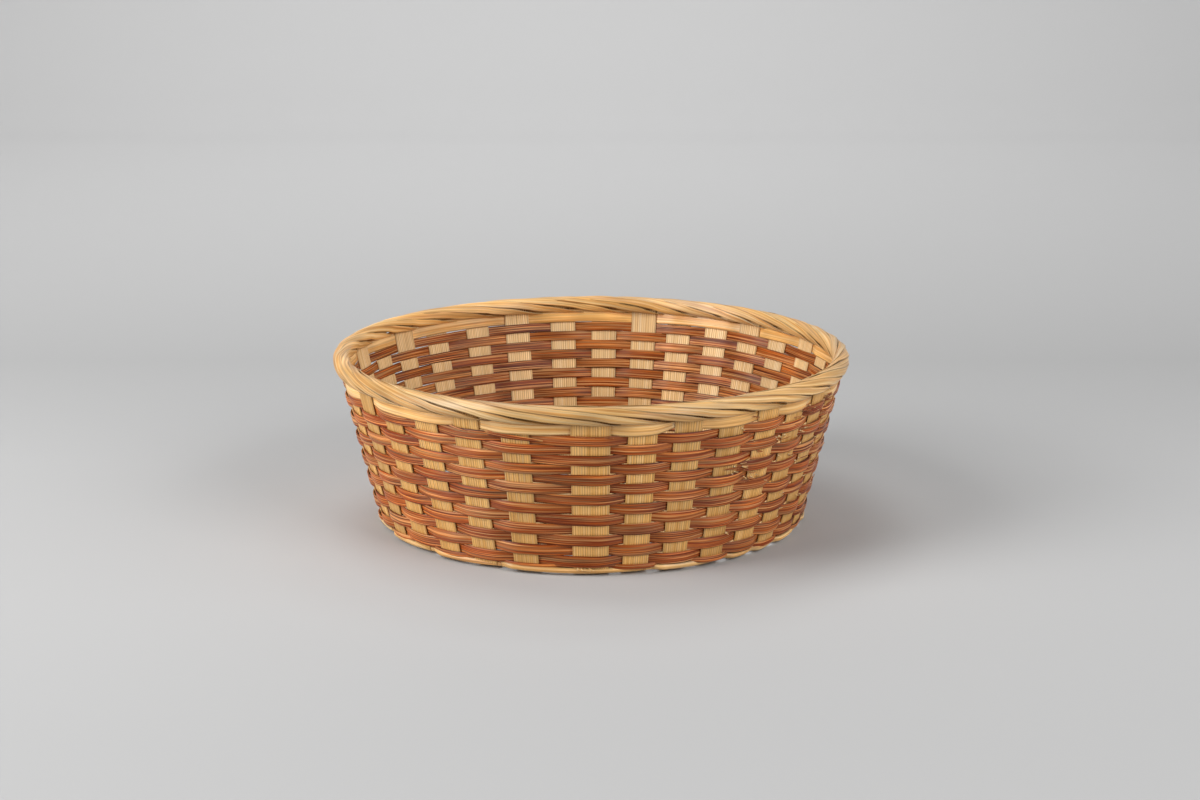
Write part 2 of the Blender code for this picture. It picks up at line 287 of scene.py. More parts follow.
# The stakes' middle line, from the flat base ring up to the tip
COLLAR_Z = middle_z("collar_weaver")
RIM_BASE_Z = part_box("rim_strand_1")[0].z
TIP_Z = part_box("splint_01")[1].z
WALL_LEAN = atan(WALL_FLARE / COLLAR_Z)
WALL_RISE = pi / 2 - WALL_LEAN
BEND_LENGTH = FOOT_BEND * WALL_RISE
WALL_LENGTH = (COLLAR_Z - BASE_Z) / sin(WALL_RISE)
LINE_S = np.arange(-LINE_BELOW, WALL_LENGTH + LINE_PAST, LINE_PACE)
LINE_RISE = np.interp(
    LINE_S,
    (-BEND_LENGTH, 0, WALL_LENGTH - ELBOW_LENGTH / 2, WALL_LENGTH + ELBOW_LENGTH / 2),
    (0, WALL_RISE, WALL_RISE, pi / 2 - RIM_LEAN),
)
LINE_STEP = LINE_S[1] - LINE_S[0]
LINE_Z = np.cumsum(np.sin(LINE_RISE)) * LINE_STEP
LINE_Z += BASE_Z - LINE_Z[0]
LINE_R = np.cumsum(np.cos(LINE_RISE)) * LINE_STEP
LINE_R += FLOOR_RADIUS + COLLAR_Z / 2 * tan(WALL_LEAN) - np.interp(COLLAR_Z / 2, LINE_Z, LINE_R)
RIM_MID_RADIUS = np.interp(RIM_BASE_Z, LINE_Z, LINE_R)
TIP_S = np.interp(TIP_Z, LINE_Z, LINE_S)


def line(s):
    """Radius, height and rise angle of the stakes' middle line at s."""
    return np.interp(s, LINE_S, LINE_R), np.interp(s, LINE_S, LINE_Z), np.interp(s, LINE_S, LINE_RISE)


def s_at_height(z):
    """Place along the stakes at a height on the wall."""
    return np.interp(z, LINE_Z[LINE_S > 0], LINE_S[LINE_S > 0])


def s_on_base(radius):
    """Place along the stakes at a radius on the flat base."""
    return radius - LINE_R[0] + LINE_S[0]


def turn_of(stake):
    """Angle of a stake, counted on past a full turn."""
    return TURNS[stake % STAKES] + 2 * pi * (stake // STAKES)


def turn_at(u):
    """Angle at a place u counted in stakes, between whole numbers too."""
    first = int(np.floor(np.min(u))) - 1
    last = int(np.ceil(np.max(u))) + 1
    return np.interp(u, range(first, last + 1), [turn_of(k) for k in range(first, last + 1)])


def stake_width(stake, s):
    """Width of a stake at s: it narrows down the wall and along the base."""
    tip = TIP_WIDTHS[stake % STAKES]
    more = WIDE_STAKE_MORE if tip == TIP_WIDTHS.max() else 0
    foot = (tip - more) * STAKE_FOOT_SHARE + more
    ring = (tip - more) * SPLINT_RING_SHARE
    return np.interp(s, (s_on_base(RING_RADIUS), -BEND_LENGTH, 0, TIP_S), (ring, foot, foot, tip))


def at_turn(turn, radius, z):
    """Points at a turn, radius and height."""
    return np.stack([radius * np.sin(turn), -radius * np.cos(turn), z + 0 * turn], axis=-1)


def unit(rows):
    """Each row scaled to length one."""
    return rows / np.linalg.norm(rows, axis=1, keepdims=True)


def smoothed(values, weights, **padding):
    """Values averaged with their neighbours, as far each side as the weights reach."""
    return np.convolve(np.pad(values, len(weights) // 2, **padding), weights / np.sum(weights), "valid")


def drift(u, size, period, seed):
    """A slow wander along a strip that closes on itself once round the basket."""
    wave = np.random.default_rng(seed)
    turns = np.asarray(u) / STAKES * 2 * pi
    total = 0
    for count in range(1, 4):
        pace = max(1, round(count * STAKES / period))
        total = total + wave.uniform(0.4, 1) * np.sin(pace * turns + wave.uniform(0, 2 * pi))
    return size * total / 2


# One ribbon of split bamboo, used for every strip
def strip_tree():
    """Node tree: a path with face, edge, share and cup on its points becomes a strip."""
    tree = bpy.data.node_groups.new("split bamboo strip", "GeometryNodeTree")
    tree.interface.new_socket("Path", in_out="INPUT", socket_type="NodeSocketGeometry")
    for name, kind in (
        ("Width", "NodeSocketFloat"), ("Thickness", "NodeSocketFloat"), ("Points Across", "NodeSocketInt"),
        ("Rib Pitch", "NodeSocketFloat"), ("Rib Height", "NodeSocketFloat"), ("Finish", "NodeSocketMaterial"),
    ):
        tree.interface.new_socket(name, in_out="INPUT", socket_type=kind)
    tree.interface.new_socket("Strip", in_out="OUTPUT", socket_type="NodeSocketGeometry")
    given = add(tree, "NodeGroupInput").outputs

    # Section: out along one face and back along the other, a little thinner at the edges
    ring = add(tree, "ShaderNodeMath", (given["Points Across"], 2.0), operation="MULTIPLY").outputs[0]
    circle = add(tree, "GeometryNodeCurvePrimitiveCircle", {"Resolution": ring}).outputs["Curve"]
    index = add(tree, "GeometryNodeInputIndex").outputs[0]
    back = add(tree, "ShaderNodeMath", (index, given["Points Across"]), operation="SUBTRACT").outputs[0]
    past = add(tree, "ShaderNodeMath", (back, -0.5), operation="GREATER_THAN").outputs[0]
    side = add(tree, "ShaderNodeMath", (past, -2.0, 1.0), operation="MULTIPLY_ADD").outputs[0]
    last = add(tree, "ShaderNodeMath", (given["Points Across"], 1.0), operation="SUBTRACT").outputs[0]
    there = add(tree, "ShaderNodeMath", (index, last), operation="DIVIDE").outputs[0]
    again = add(tree, "ShaderNodeMath", (back, last), operation="DIVIDE").outputs[0]
    mirrored = add(tree, "ShaderNodeMath", (1.0, again), operation="SUBTRACT").outputs[0]
    share = add(tree, "ShaderNodeMix", (past, None, there, mirrored)).outputs[0]
    reach = add(tree, "ShaderNodeMath", (share, 2.0, -1.0), operation="MULTIPLY_ADD").outputs[0]
    far = add(tree, "ShaderNodeMath", (reach,), operation="ABSOLUTE").outputs[0]
    worn = add(tree, "ShaderNodeMath", (far, 14.0), operation="POWER").outputs[0]
    full = add(tree, "ShaderNodeMath", (worn, -0.5, 1.0), operation="MULTIPLY_ADD").outputs[0]
    half = add(tree, "ShaderNodeMath", (given["Thickness"], 0.5), operation="MULTIPLY").outputs[0]
    deep = add(tree, "ShaderNodeMath", (half, full), operation="MULTIPLY").outputs[0]
    through = add(tree, "ShaderNodeMath", (deep, side), operation="MULTIPLY").outputs[0]
    wide = add(tree, "ShaderNodeMath", (given["Width"], 0.5), operation="MULTIPLY").outputs[0]
    across = add(tree, "ShaderNodeMath", (wide, reach), operation="MULTIPLY").outputs[0]
    place = add(tree, "ShaderNodeCombineXYZ", (through, across)).outputs[0]
    outline = circle
    for name, value in (("across", across), ("side", side), ("reach", reach)):
        outline = add(
            tree, "GeometryNodeStoreNamedAttribute", {"Geometry": outline, "Name": name, "Value": value},
            data_type="FLOAT", domain="POINT",
        ).outputs[0]
    outline = add(tree, "GeometryNodeSetPosition", {"Geometry": outline, "Position": place}).outputs[0]

    # Path, with its length kept for the grain
    rail = add(tree, "GeometryNodeMeshToCurve", (given["Path"],)).outputs[0]
    length = add(tree, "GeometryNodeSplineParameter").outputs["Length"]
    rail = add(
        tree, "GeometryNodeStoreNamedAttribute", {"Geometry": rail, "Name": "along", "Value": length},
        data_type="FLOAT", domain="POINT",
    ).outputs[0]
    stored = {}
    for name, kind in (
        ("face", "FLOAT_VECTOR"), ("edge", "FLOAT_VECTOR"), ("share", "FLOAT"), ("cup", "FLOAT"),
        ("across", "FLOAT"), ("side", "FLOAT"), ("reach", "FLOAT"),
    ):
        stored[name] = add(tree, "GeometryNodeInputNamedAttribute", {"Name": name}, data_type=kind).outputs[0]
    rail = add(
        tree, "GeometryNodeSetCurveNormal", {"Curve": rail, "Normal": stored["face"]}, mode="FREE",
    ).outputs[0]
    body = add(
        tree, "GeometryNodeCurveToMesh", {"Curve": rail, "Profile Curve": outline, "Fill Caps": True},
    ).outputs[0]

    # Taper, cup and ribs, as moves of the finished section
    less = add(tree, "ShaderNodeMath", (stored["share"], 1.0), operation="SUBTRACT").outputs[0]
    aside = add(tree, "ShaderNodeMath", (stored["across"], less), operation="MULTIPLY").outputs[0]
    taper = add(
        tree, "ShaderNodeVectorMath", {0: stored["edge"], "Scale": aside}, operation="SCALE",
    ).outputs[0]
    square = add(tree, "ShaderNodeMath", (stored["reach"], stored["reach"]), operation="MULTIPLY").outputs[0]
    inner = add(tree, "ShaderNodeMath", (0.5, square), operation="SUBTRACT").outputs[0]
    cupped = add(tree, "ShaderNodeMath", (inner, stored["cup"]), operation="MULTIPLY").outputs[0]
    beat = add(tree, "ShaderNodeMath", (stored["across"], given["Rib Pitch"]), operation="DIVIDE").outputs[0]
    wave = add(tree, "ShaderNodeMath", (beat, 2 * pi), operation="MULTIPLY").outputs[0]
    crest = add(tree, "ShaderNodeMath", (wave,), operation="COSINE").outputs[0]
    rib = add(tree, "ShaderNodeMath", (crest, given["Rib Height"]), operation="MULTIPLY").outputs[0]
    ribbed = add(tree, "ShaderNodeMath", (rib, stored["side"], cupped), operation="MULTIPLY_ADD").outputs[0]
    lift = add(
        tree, "ShaderNodeVectorMath", {0: stored["face"], "Scale": ribbed}, operation="SCALE",
    ).outputs[0]
    move = add(tree, "ShaderNodeVectorMath", (taper, lift), operation="ADD").outputs[0]
    body = add(tree, "GeometryNodeSetPosition", {"Geometry": body, "Offset": move}).outputs[0]
    body = add(tree, "GeometryNodeSetShadeSmooth", {"Geometry": body, "Shade Smooth": True}).outputs[0]
    body = add(tree, "GeometryNodeRealizeInstances", {"Geometry": body}).outputs[0]
    body = add(tree, "GeometryNodeSetMaterial", {"Geometry": body, "Material": given["Finish"]}).outputs[0]
    add(tree, "NodeGroupOutput", (body,))
    return tree


def strip(name, paths, width, thickness, finish, across=12, rib_pitch=0.001, rib_height=0.0):
    """Build one piece from its paths.

    Each path is its points and outward faces, and where given its shares of the width, cups and
    tones. A tone of 0 or less is darkest, one of about 0.5 leaves the finish as it is, and one of 1.5
    or more is palest.
    """
    joined = {"face": [], "edge": [], "share": [], "cup": [], "tone": [], "lot": [], "cut": []}
    points, edges = [], []
    for path in paths:
        place = np.asarray(path["points"])
        ahead = unit(np.gradient(place, axis=0))
        face = np.asarray(path["faces"], dtype=float)
        face = unit(face - ahead * np.sum(face * ahead, axis=1, keepdims=True))
        count = len(place)
        run = np.concatenate([[0], np.cumsum(np.linalg.norm(np.diff(place, axis=0), axis=1))])
        cut = np.minimum(run, run[-1] - run) < CUT_LENGTH
        edges += [(len(points) + k, len(points) + k + 1) for k in range(count - 1)]
        points += [tuple(p) for p in place]
        joined["face"].append(face)
        joined["edge"].append(np.cross(ahead, face))
        joined["share"].append(np.broadcast_to(path.get("shares", 1.0), count))
        joined["cup"].append(np.broadcast_to(path.get("cups", 0.0), count))
        joined["tone"].append(np.broadcast_to(path.get("tones", 0.5), count))
        joined["lot"].append(np.full(count, rng.uniform(0, 50)))
        joined["cut"].append(cut.astype(float))
    mesh = bpy.data.meshes.new(name + "_path")
    mesh.from_pydata(points, edges, [])
    for key, parts in joined.items():
        values = np.concatenate(parts).astype(np.float32)
        kind = "FLOAT_VECTOR" if values.ndim == 2 else "FLOAT"
        mesh.attributes.new(key, kind, "POINT").data.foreach_set(
            "vector" if values.ndim == 2 else "value", values.ravel())
    guide = bpy.data.objects.new(name + "_path", mesh)
    bpy.context.scene.collection.objects.link(guide)
    ribbon = guide.modifiers.new("strip", "NODES")
    ribbon.node_group = STRIP_TREE
    settings = {
        "Width": width, "Thickness": thickness, "Points Across": across, "Rib Pitch": rib_pitch,
        "Rib Height": rib_height, "Finish": finish,
    }
    for item in STRIP_TREE.interface.items_tree:
        if item.in_out == "INPUT" and item.name in settings:
            ribbon[item.identifier] = settings[item.name]
    ready = guide.evaluated_get(bpy.context.evaluated_depsgraph_get())
    piece = bpy.data.objects.new(name, bpy.data.meshes.new_from_object(ready))
    piece.data.name = name
    bpy.context.scene.collection.objects.link(piece)
    bpy.data.objects.remove(guide)
    bpy.data.meshes.remove(mesh)
    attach(piece, "root")
    return piece


# Finishes
def fibres(tree, spacing, length, detail=2.0):
    """Noise drawn out along the strip: fibres of one spacing across and one length."""
    across = add(tree, "ShaderNodeAttribute", attribute_name="across").outputs["Fac"]
    along = add(tree, "ShaderNodeAttribute", attribute_name="along").outputs["Fac"]
    lot = add(tree, "ShaderNodeAttribute", attribute_name="lot").outputs["Fac"]
    x = add(tree, "ShaderNodeMath", (across, spacing), operation="DIVIDE").outputs[0]
    y = add(tree, "ShaderNodeMath", (along, length), operation="DIVIDE").outputs[0]
    place = add(tree, "ShaderNodeCombineXYZ", (x, y, lot)).outputs[0]
    noise = add(
        tree, "ShaderNodeTexNoise", {"Vector": place, "Scale": 1.0, "Detail": detail, "Roughness": 0.55},
    )
    return noise.outputs["Fac"]


def ramp(tree, value, stops):
    """Colours along a value, as (place, sRGB hex) stops."""
    node = add(tree, "ShaderNodeValToRGB", (value,))
    band = node.color_ramp
    while len(band.elements) < len(stops):
        band.elements.new(0.5)
    for element, (place, colour) in zip(band.elements, stops):
        element.position = place
        element.color = srgb(colour)
    return node.outputs["Color"]


def bamboo(name, spacing, outer_stops, inner_stops, fibre_colour, fibre_share, fine_strength,
           painted_edge_shade, cut_colour, roughness, specular, relief):
    """A split bamboo finish: coarse and fine fibres, a paler pith side, pale cut ends, painted shade along
    the edges and a silky sheen.

    The sheen is drawn out across the fibres, as light is by any bundle of straight fibres.
    """
    material = bpy.data.materials.new(name)
    material.use_nodes = True
    tree = material.node_tree
    shader = tree.nodes["Principled BSDF"]
    # Bundles of fibres, at the spacing of this finish, and the odd pale fibre among them
    coarse = fibres(tree, spacing, length=0.07)
    single = fibres(tree, spacing=0.0006, length=0.06)
    # Single fibres are about 0.2 mm; drawn at 0.45 mm so that they still show in the picture
    fine = fibres(tree, spacing=0.00045, length=0.04, detail=1.0)
    slow = fibres(tree, spacing=0.012, length=0.02, detail=1.0)
    side = add(tree, "ShaderNodeAttribute", attribute_name="side").outputs["Fac"]
    inner = add(tree, "ShaderNodeMapRange", (side, 1.0, -1.0, 0.0, 1.0)).outputs[0]
    colour = add(
        tree, "ShaderNodeMix",
        {0: inner, 6: ramp(tree, coarse, outer_stops), 7: ramp(tree, coarse, inner_stops)},
        data_type="RGBA",
    ).outputs[2]
    shown = add(tree, "ShaderNodeMapRange", (single, 0.5, 0.64, 0.0, fibre_share)).outputs[0]
    colour = add(
        tree, "ShaderNodeMix", {0: shown, 6: colour, 7: srgb(fibre_colour)}, data_type="RGBA",
    ).outputs[2]
    # Fine fibres and slow shading multiply the coarse grain
    fine_part = add(
        tree, "ShaderNodeMapRange", (fine, 0.3, 0.7, 1 - fine_strength, 1 + fine_strength),
    ).outputs[0]
    slow_part = add(tree, "ShaderNodeMapRange", (slow, 0.3, 0.7, 0.9, 1.1)).outputs[0]
    tone = add(tree, "ShaderNodeAttribute", attribute_name="tone").outputs["Fac"]
    tone_part = add(tree, "ShaderNodeMapRange", (tone, 0.0, 1.5, 0.72, 1.5)).outputs[0]
    product = add(tree, "ShaderNodeMath", (fine_part, slow_part), operation="MULTIPLY").outputs[0]
    product = add(tree, "ShaderNodeMath", (product, tone_part), operation="MULTIPLY").outputs[0]
    # Painted shade: each strip is darker along its edges, standing in for the shade in the slits between
    # strips
    reach = add(tree, "ShaderNodeAttribute", attribute_name="reach").outputs["Fac"]
    far = add(tree, "ShaderNodeMath", (reach,), operation="ABSOLUTE").outputs[0]
    painted_edge_part = add(tree, "ShaderNodeMapRange", (far, 0.8, 1.0, 1.0, painted_edge_shade)).outputs[0]
    product = add(tree, "ShaderNodeMath", (product, painted_edge_part), operation="MULTIPLY").outputs[0]
    colour = add(tree, "ShaderNodeVectorMath", {0: colour, "Scale": product}, operation="SCALE").outputs[0]
    cut = add(tree, "ShaderNodeAttribute", attribute_name="cut").outputs["Fac"]
    colour = add(
        tree, "ShaderNodeMix", {0: cut, 6: colour, 7: srgb(cut_colour)}, data_type="RGBA",
    ).outputs[2]
    tree.links.new(colour, shader.inputs["Base Color"])
    height = add(tree, "ShaderNodeMath", (coarse, fine), operation="ADD").outputs[0]
    bump = add(tree, "ShaderNodeBump", {"Strength": relief, "Distance": 0.0001, "Height": height})
    tree.links.new(bump.outputs[0], shader.inputs["Normal"])
    edge = add(tree, "ShaderNodeAttribute", attribute_name="edge").outputs["Vector"]
    tangent = add(tree, "ShaderNodeVectorMath", (edge, (0.0, 0.0, 0.001)), operation="ADD").outputs[0]
    tree.links.new(tangent, shader.inputs["Tangent"])
    shader.inputs["Anisotropic"].default_value = FIBRE_DRAW
    shader.inputs["Roughness"].default_value = roughness
    shader.inputs["IOR"].default_value = 1.5
    shader.inputs["Specular IOR Level"].default_value = specular
    return material


def brown_finish():
    """Stained split bamboo: the stain sits in the pores, so the fibres stay lighter and redder."""
    outer = ((0.3, "#5F1D03"), (0.43, "#813306"), (0.52, "#9E4A13"), (0.6, "#B36226"), (0.72, "#CE8949"))
    inner = ((0.3, "#541B03"), (0.43, "#752F08"), (0.52, "#954A16"), (0.6, "#AF672E"), (0.72, "#D09259"))
    return bamboo(
        "stained split bamboo", spacing=0.0005, outer_stops=outer, inner_stops=inner, fibre_colour="#D19B64",
        fibre_share=0.65, fine_strength=0.55, painted_edge_shade=0.66, cut_colour="#BE8951", roughness=0.5,
        specular=0.3, relief=1.0,
    )


def stake_finish():
    """Pale planed bamboo with ribs: the skin was grooved lengthwise, and the grooves are painted darker as
    painted shade, so light and dark lines alternate.
    """
    outer = ((0.3, "#CA9248"), (0.45, "#DFA75B"), (0.6, "#EAB66A"), (0.75, "#EEC47F"))
    inner = ((0.3, "#D9AF72"), (0.45, "#E6BF85"), (0.6, "#EDCA95"), (0.75, "#EED4A8"))
    material = bamboo(
        "ribbed pale bamboo", spacing=0.0009, outer_stops=outer, inner_stops=inner, fibre_colour="#EED5AA",
        fibre_share=0.3, fine_strength=0.1, painted_edge_shade=0.75, cut_colour="#E5C99B", roughness=0.5,
        specular=0.45, relief=0.6,
    )
    tree = material.node_tree
    shader = tree.nodes["Principled BSDF"]
    colour = shader.inputs["Base Color"].links[0].from_socket
    across = add(tree, "ShaderNodeAttribute", attribute_name="across").outputs["Fac"]
    # The grooves wander a little from their pitch and carry painted shade, deeper in places
    stray = fibres(tree, spacing=0.003, length=0.12, detail=1.0)
    beat = add(tree, "ShaderNodeMath", (across, 2 * pi / RIB_PITCH), operation="MULTIPLY").outputs[0]
    wander = add(tree, "ShaderNodeMath", (stray, 5.0, beat), operation="MULTIPLY_ADD").outputs[0]
    crest = add(tree, "ShaderNodeMath", (wander,), operation="COSINE").outputs[0]
    groove_shade_depth = fibres(tree, spacing=0.0017, length=0.05, detail=1.0)
    painted_groove_shade = add(tree, "ShaderNodeMapRange", (crest, -1.0, -0.3, 1.0, 0.0)).outputs[0]
    part = add(tree, "ShaderNodeMapRange", (groove_shade_depth, 0.3, 0.7, 0.55, 1.0)).outputs[0]
    amount = add(tree, "ShaderNodeMath", (painted_groove_shade, part), operation="MULTIPLY").outputs[0]
    groove_shaded = add(
        tree, "ShaderNodeMix", {0: amount, 6: colour, 7: srgb("#AD7A45")}, data_type="RGBA",
    ).outputs[2]
    tree.links.new(groove_shaded, shader.inputs["Base Color"])
    return material


def rim_finish():
    """Smooth pale cane-like bamboo, scraped on both faces: fine even grain, warm and a little glossy."""
    stops = ((0.28, "#B1773A"), (0.42, "#CB9551"), (0.55, "#D9A965"), (0.72, "#E4C088"))
    return bamboo(
        "scraped golden bamboo", spacing=0.0009, outer_stops=stops, inner_stops=stops, fibre_colour="#E6CDA4",
        fibre_share=0.3, fine_strength=0.2, painted_edge_shade=0.6, cut_colour="#E1C99F", roughness=0.42,
        specular=0.55, relief=0.35,
    )


def paper_finish():
    """Seamless studio paper, matt grey, with painted light and shade: darker in a band behind the object and
    at the left edge, paler up the back wall.
    """
    material = bpy.data.materials.new("seamless paper with painted shade")
    material.use_nodes = True
    tree = material.node_tree
    shader = tree.nodes["Principled BSDF"]
    place = add(tree, "ShaderNodeTexCoord").outputs["Object"]
    parts = add(tree, "ShaderNodeSeparateXYZ", (place,)).outputs
    share = add(tree, "ShaderNodeMapRange", (parts["Y"], PAINTED_SHADE_FROM, PAINTED_SHADE_TO)).outputs[0]
    # Painted light and shade front to back: a darker band behind the object, paler up the back wall
    painted_shades = (
        (0, "#B1B1B1"), (0.08, "#B4B4B4"), (0.195, "#B3B3B3"), (0.24, "#AFAFAF"), (0.315, "#A9A9A9"),
        (0.415, "#B4B4B4"), (0.6, "#C5C5C5"), (0.79, "#D5D5D5"), (0.845, "#D6D6D6"), (0.9, "#D1D1D1"),
        (1.0, "#CCCCCC"),
    )
    # Painted shade on the paper near the key light
    painted_key_shade = add(
        tree, "ShaderNodeMapRange", (parts["X"], KEY_EDGE_DARKEST, KEY_EDGE_END, KEY_EDGE_SHARE, 1.0),
    ).outputs[0]
    colour = ramp(tree, share, painted_shades)
    colour = add(tree, "ShaderNodeVectorMath", {0: colour, "Scale": painted_key_shade}, operation="SCALE").outputs[0]
    tree.links.new(colour, shader.inputs["Base Color"])
    shader.inputs["Roughness"].default_value = 0.9
    return material


STRIP_TREE = strip_tree()
BROWN = brown_finish()
STAKE = stake_finish()
RIM = rim_finish()


# Woven strips
def sides(outside, first, last):
    """+1 where a strip passes outside a stake and -1 where it passes inside."""
    return {k: 1 if outside(k % STAKES) else -1 for k in range(first - 1, last + 2)}


def weave_offset(u, s, half_thickness, side, extra):
    """How far a springy strip stands off the stakes' middle at each place."""
    offset = np.zeros(len(u))
    radius = line(s)[0]
    turns = turn_at(u)
    for i, (place, turn) in enumerate(zip(u, turns)):
        k = int(np.floor(place))
        half = [stake_width(j, s) / 2 / radius for j in (k, k + 1)]
        ends = [turn_of(k), turn_of(k + 1)]
        middle = (ends[0] + half[0] + ends[1] - half[1]) / 2
        j = 0 if turn < middle else 1
        need = STAKE_THICKNESS / 2 + half_thickness + EDGE_ROOM
        share = (abs(ends[j] - middle) - half[j]) / abs(ends[j] - middle)
        spring = max(SPRING_SHARE, share + SPRING_MARGIN)
        amplitude = need / sin(pi / 2 * share / spring) + extra.get(k + j, 0.0)
        away = min(1.0, abs(turn - middle) / abs(ends[j] - middle) / spring)
        if side[k] == side[k + 1]:
            offset[i] = side[k] * amplitude * (1 - FLOAT_DIP + FLOAT_DIP * away)
        else:
            offset[i] = side[k + j] * amplitude * sin(pi / 2 * away)
    return smoothed(offset, np.array([1, 2, 3, 2, 1]), mode="edge")


def woven(name, s, width, thickness, finish, outside, first, last, seed, extra=None, roll=2.0,
          swell=0.05, cup=0.00012, across=12, wobble=None, end_shares=None, slim=None, tone=0.5):
    """A strip woven once round the stakes at s, from one end to the other."""
    start, stop = int(np.floor(first)) - 1, int(np.ceil(last)) + 1
    side = sides(outside, start, stop)
    u = np.linspace(first, last, int((last - first) * STEPS_PER_STAKE) + 1)
    offset = weave_offset(u, s, thickness / 2, side, extra or {})
    shift = wobble(u) if wobble else 0
    radius, z, rise = line(s + shift)
    offset = np.minimum(offset, np.where(rise < FLAT_RISE, z - thickness / 2 - LOWEST_Z, 1.0))
    turn = turn_at(u)
    points = at_turn(turn, radius + offset * np.sin(rise), z - offset * np.cos(rise))
    tilt = radians(roll) * drift(u, size=1.0, period=3.0, seed=seed)
    faces = at_turn(turn, np.sin(rise + tilt), -np.cos(rise + tilt))
    shares = 1 + swell * offset / np.max(np.abs(offset)) + drift(u, size=0.025, period=2.5, seed=seed + 50)
    if end_shares:
        run = np.minimum(u - first, last - u)
        shares = shares * np.interp(run, *end_shares)
    if slim:
        shares = shares * np.interp(u % STAKES, *slim)
    cups = cup * np.sign(offset) * np.minimum(1, np.abs(offset) / CUP_FULL_AT)
    # Painted light on the crests and painted shade where the strip dives behind a stake
    painted_crest_and_dive = np.abs(offset) / np.max(np.abs(offset)) - PAINTED_DIVE_FROM
    tones = tone + PAINTED_DIVE_SHARE * painted_crest_and_dive + drift(u, size=0.2, period=4.0, seed=seed + 90)
    # Painted light and shade by the place round the basket
    tones = tones + rng.uniform(-TONE_SPREAD, TONE_SPREAD) + np.interp(u % STAKES, *PAINTED_LIGHT_ROUND_WALL)
    if finish is not BROWN:
        tones = np.minimum(tones, PALE_TONE_MOST)
    path = {"points": points, "faces": faces, "shares": shares, "cups": cups, "tones": tones}
    piece = strip(name, [path], width, thickness, finish, across)
    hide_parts(name)


def shared_wobble(u):
    """Rise and fall that neighbouring rows share."""
    return drift(u, size=0.00035, period=9.0, seed=11)


def build_rows():
    """The brown rows from the foot up, each in the other beat than the one below."""
    names = sorted(n for n in nodes if n.startswith("weaver_"))
    places = [s_at_height(middle_z(name)) for name in names]
    places[0] += LOW_WEAVER_LIFT
    for row, name in enumerate(names):
        pitch = places[max(row, 2)] - places[max(row, 2) - 1]
        first = LAP_FIRST + row % LAP_SPREAD
        outside = lambda stake, row=row: (stake + row) % 2 == 1
        last = first + STAKES + LAP_COUNT - 1
        extra = {k: LAP_STEP for k in range(first + STAKES, last + 1) if outside(k % STAKES)}
        extra.update({k: LAP_STEP for k in range(first, first + LAP_COUNT) if not outside(k % STAKES)})
        woven(
            name, places[row], LOW_WEAVER_WIDTH if row == 0 else pitch + WEAVER_MORE,
            WEAVER_THICKNESS, BROWN, outside, first - LAP_END, last + LAP_END,
            seed=100 + row, extra=extra, slim=SLIT_SHARES if row >= SLIT_FIRST_ROW else None,
            wobble=lambda u, row=row: shared_wobble(u) + drift(u, size=0.00012, period=5.0, seed=300 + row),
        )


def build_collar():
    """The pale strip under the rim, whose tapered end shows at the front."""
    rising = (STAKES + COLLAR_RISE_FROM, STAKES + COLLAR_PAST)

    def wobble(u):
        return drift(u, size=0.0003, period=6.0, seed=210) + np.interp(u, rising, (0, COLLAR_END_RISE))

    woven(
        "collar_weaver", s_at_height(COLLAR_Z + COLLAR_LIFT), COLLAR_WIDTH, WEAVER_THICKNESS, RIM,
        lambda stake: stake in COLLAR_OUTSIDE, COLLAR_FIRST, STAKES + COLLAR_PAST,
        seed=200, wobble=wobble, end_shares=COLLAR_RAGGED, tone=COLLAR_PAINTED_LIGHT_TONE,
    )


# Stakes and base
def stake_run(stake, s):
    """Points, outward faces and widths of one stake along s."""
    radius, z, rise = line(s)
    turn = np.full(len(s), turn_of(stake))
    return at_turn(turn, radius, z), at_turn(turn, np.sin(rise), -np.cos(rise)), stake_width(stake, s)


